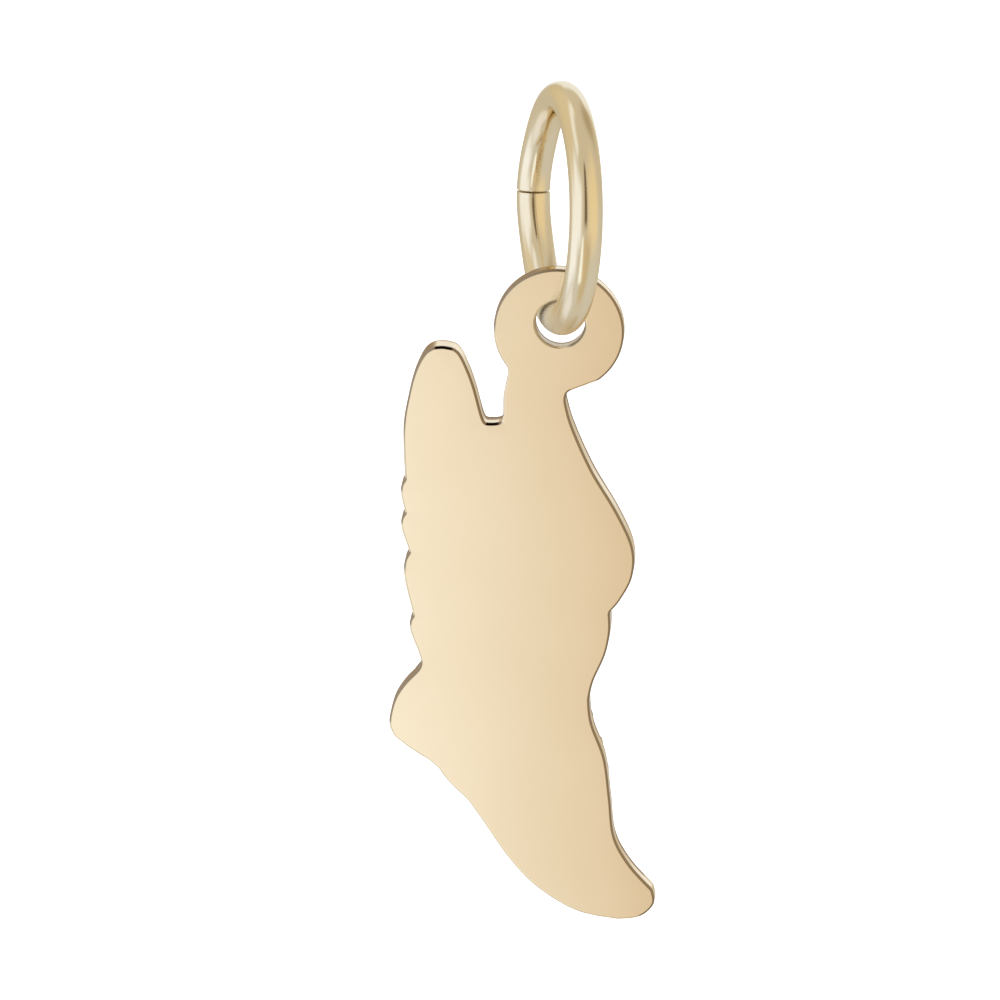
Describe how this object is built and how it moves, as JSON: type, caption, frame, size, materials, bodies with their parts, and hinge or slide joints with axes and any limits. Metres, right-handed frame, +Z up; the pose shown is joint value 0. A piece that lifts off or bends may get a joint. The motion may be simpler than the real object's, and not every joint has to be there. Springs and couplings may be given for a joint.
{
  "type": "winged shoe charm",
  "caption": "Flat gold-coloured charm in the outline of a winged shoe, with a round eyelet hung on a split jump ring.",
  "frame": {"origin": "inside of the jump ring's top, where a chain or bracelet link holds the charm", "axes": "+Z up, -Y the way the flat polished back of the plate faces, +X to the right of someone who looks at that back"},
  "size_m": [0.0065, 0.0059, 0.0212],
  "materials": {
    "plate_gold": "mirror polished, pale gold-coloured",
    "ring_gold": "polished wire, pale gold-coloured"
  },
  "bodies": {
    "ring": {"jump_ring": "ring_gold"},
    "shoe": {"shoe_plate": "plate_gold"}
  },
  "joints": [
    {"name": "shoe_swing", "type": "hinge", "parent": "ring", "child": "shoe", "pos_m": [-0.00014, -0.00056, -0.005], "axis": [0, 1, 0], "range_deg": [-145, 125]}
  ]
}
